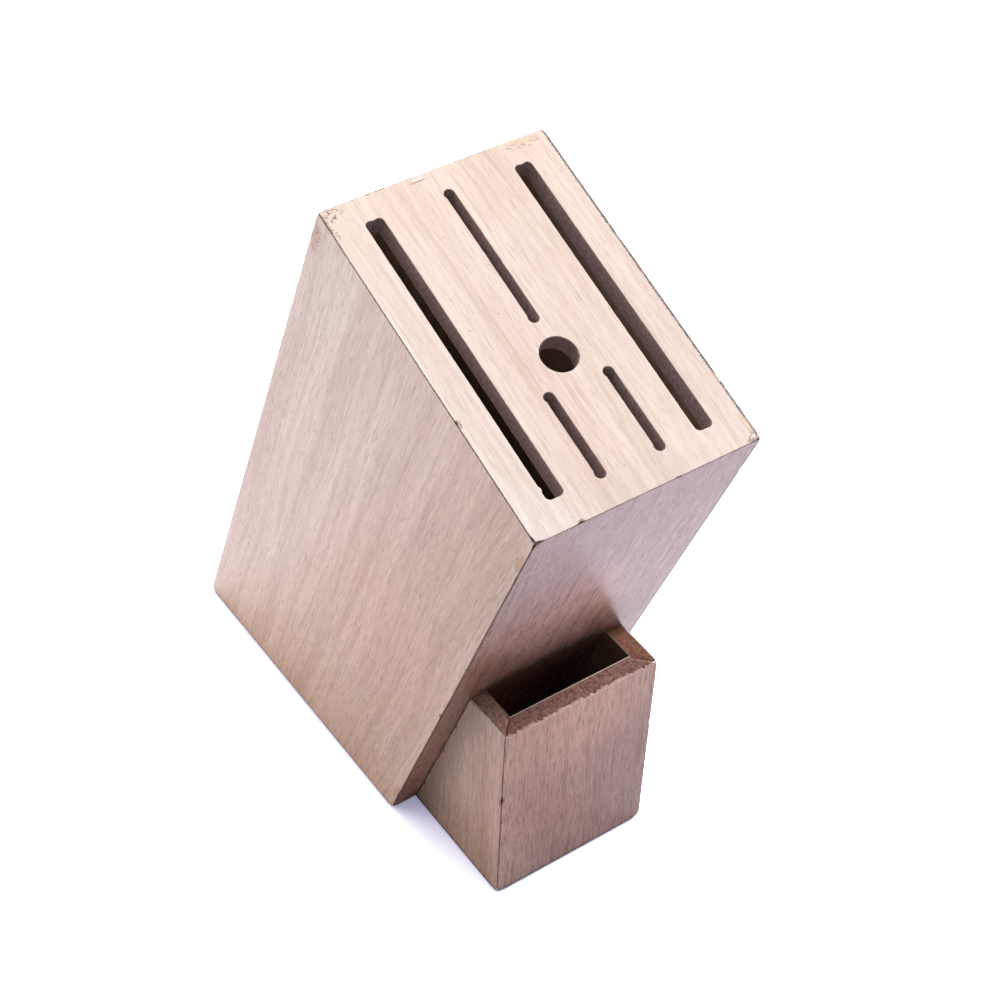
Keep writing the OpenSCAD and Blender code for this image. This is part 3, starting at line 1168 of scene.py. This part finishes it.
for number, (board, b) in enumerate(BOARDS.items()):
    placed = board_frame(b["parent"], b["origin"], b["across"], b["along"])
    in_parent = board_frame(Matrix.Identity(4), b["origin"], b["across"], b["along"])
    knocks = in_frame(b["knocks"], in_parent.inverted())
    holes = b.get("holes", ())
    finish = veneer(board + "_veneer", 13.0 + 7.3 * number, b["corners"], b["edges"], **b["finish"])
    face = Ply(b["corners"], b["edges"], 0, VENEER_T, b["wear"], in_parent, number, holes)
    points, faces = take_off(*face.build(), knocks + b.get("chips", []))
    add_piece(board + "_face", points, faces, placed, finish, "veneer", board + "_veneer")

    mitre_gap = 0.14 if b["parent"] is UPRIGHT_FRAME else 0.05
    bare = bare_edges(b["edges"], mitre_gap)
    middle = Ply(b["corners"], bare, VENEER_T, CORE_END, b["wear"], in_parent, number + 40, holes)
    points, faces = take_off(*middle.build(), knocks)
    add_piece(board + "_middle", points, faces, placed, core_finish(board), "board", board + "_core")
    frame["nodes"][board + "_backing"].material_slots[0].material = backing_finish(board)

cad_board = fibreboard("cad_fibreboard", 2.0, paint(124, 92, 78), paint(170, 138, 120), on_cad=True)
for hidden in ("base_board", "pocket_floor"):
    frame["nodes"][hidden].material_slots[0].material = cad_board

# ---------------- pads

pad_finish = rubber("pad_rubber")
PAD_ROUND = 0.35


def pad_mesh(radius, height, sides=40):
    """A stuck-on pad with a rounded rim, standing on z = 0."""
    profile = [(radius - PAD_ROUND, 0)]
    for j in range(5):
        turn = math.radians(22.5 * j)
        low = PAD_ROUND * (1 - math.cos(turn))
        profile.append((radius - PAD_ROUND + PAD_ROUND * math.sin(turn), low))
    profile.append((radius, height))
    points = []
    for reach, level in profile:
        for k in range(sides):
            a = 2 * math.pi * k / sides
            points.append((reach * math.cos(a), reach * math.sin(a), level))
    faces = [tuple(reversed(range(sides)))]
    for row in range(len(profile) - 1):
        for k in range(sides):
            n = (k + 1) % sides
            low, high = row * sides, (row + 1) * sides
            faces.append((low + k, low + n, high + n, high + k))
    top = (len(profile) - 1) * sides
    faces.append(tuple(range(top, top + sides)))
    return points, faces


for node in sorted(frame["nodes"]):
    if node.startswith("pad_"):
        lo, hi = box_mm(node)
        points, faces = pad_mesh((hi.x - lo.x) / 2, hi.z - lo.z)
        spot = Matrix.Translation(((lo.x + hi.x) / 2, (lo.y + hi.y) / 2, lo.z))
        add_piece(node + "_rubber", points, faces, spot, pad_finish, "pad", node)

# ---------------- floor

FLOOR_HALF = 12.0


def floor_mesh():
    ends = (-FLOOR_HALF, FLOOR_HALF)
    points = [(x, y, 0) for x in ends for y in ends]
    mesh = bpy.data.meshes.new("floor")
    mesh.from_pydata(points, [], [(0, 2, 3, 1)])
    return mesh


floor = bpy.data.objects.new("floor", floor_mesh())
scene.collection.objects.link(floor)
paper = Shader("paper", on_cad=True)
# The camera sees the paper glowing white, but close to the block the glow fades and turns bluish: a
# painted contact shadow.
seen = paper.node("LightPath").outputs["Is Camera Ray"]
open_sky = paper.node("AmbientOcclusion", {"Distance": 0.05}, samples=16).outputs["AO"]
burnt = paper.ease(open_sky, 0.1, 0.8, 0.3, 1.0)
shade = paper.blend(paper.ease(open_sky, 0.2, 0.7), (0.74, 0.745, 1.04, 1), (0.93, 1.0, 1.05, 1))
shown = paper.times(seen, burnt)
paper.set(Base_Color=(0.82, 0.78, 0.9, 1), Roughness=0.9, Specular_IOR_Level=0.1)
paper.set(Emission_Color=shade, Emission_Strength=shown)
floor.data.materials.append(paper.material)

# ---------------- light

world = bpy.data.worlds.new("studio")
scene.world = world
world.use_nodes = True
tree = world.node_tree
sky = tree.nodes["Background"].inputs
sky["Color"].default_value = (1, 1, 0.98, 1)
# A white backdrop to the camera, and a weak soft light to everything else
sky_light = tree.nodes.new("ShaderNodeMapRange")
sky_light.inputs["To Min"].default_value = 0.12
sky_light.inputs["To Max"].default_value = 1.0
sees_sky = tree.nodes.new("ShaderNodeLightPath")
tree.links.new(sees_sky.outputs["Is Camera Ray"], sky_light.inputs["Value"])
tree.links.new(sky_light.outputs["Result"], sky["Strength"])

LAMP_TARGET = Vector((0, 0, 0.15))

# name: where it stands, side of its square panel, colour, power in watts
LAMPS = {
    "right": ((1.7, -0.3, 1.6), 0.8, (0.94, 0.97, 1.0), 55.5),
    "back_right": ((0.9, 1.1, 1.8), 1.5, (1.0, 1.0, 0.99), 28),
    "back": ((0.3, 0.9, 2.0), 1.5, (1.0, 1.0, 0.96), 25),
    "left_back": ((-1.4, 1.8, 0.8), 2.0, (1.0, 0.795, 0.71), 40),
}

for name, (place, panel, tint, power) in LAMPS.items():
    data = bpy.data.lights.new(name, "AREA")
    data.shape = "SQUARE"
    data.size = panel
    data.color = tint
    data.energy = power
    lamp = bpy.data.objects.new(name, data)
    lamp.location = place
    lamp.rotation_euler = (LAMP_TARGET - Vector(place)).to_track_quat("-Z", "Y").to_euler()
    scene.collection.objects.link(lamp)

# ---------------- camera

CAMERA_PLACE = Vector((-376.8, -542.0, 763.6)) * MM
CAMERA_AZIMUTH = math.radians(-36.67)
CAMERA_ELEVATION = math.radians(43.64)
CAMERA_ROLL = math.radians(2.63)
FOCAL_MM = 79.34
SENSOR_MM = 36

back = Vector(
    (
        math.sin(CAMERA_AZIMUTH) * math.cos(CAMERA_ELEVATION),
        -math.cos(CAMERA_AZIMUTH) * math.cos(CAMERA_ELEVATION),
        math.sin(CAMERA_ELEVATION),
    )
)
level = back.cross(Vector((0, 0, -1))).normalized()
upright = back.cross(level).normalized()
right = level * math.cos(CAMERA_ROLL) + upright * math.sin(CAMERA_ROLL)
up = upright * math.cos(CAMERA_ROLL) - level * math.sin(CAMERA_ROLL)

camera_data = bpy.data.cameras.new("camera")
camera_data.lens = FOCAL_MM
camera_data.sensor_width = SENSOR_MM
camera_data.clip_start = 0.01
camera = bpy.data.objects.new("camera", camera_data)
axes = Matrix((right, up, back)).transposed().to_4x4()
camera.matrix_world = Matrix.Translation(CAMERA_PLACE) @ axes
scene.collection.objects.link(camera)
scene.camera = camera
scene.view_settings.view_transform = "Standard"
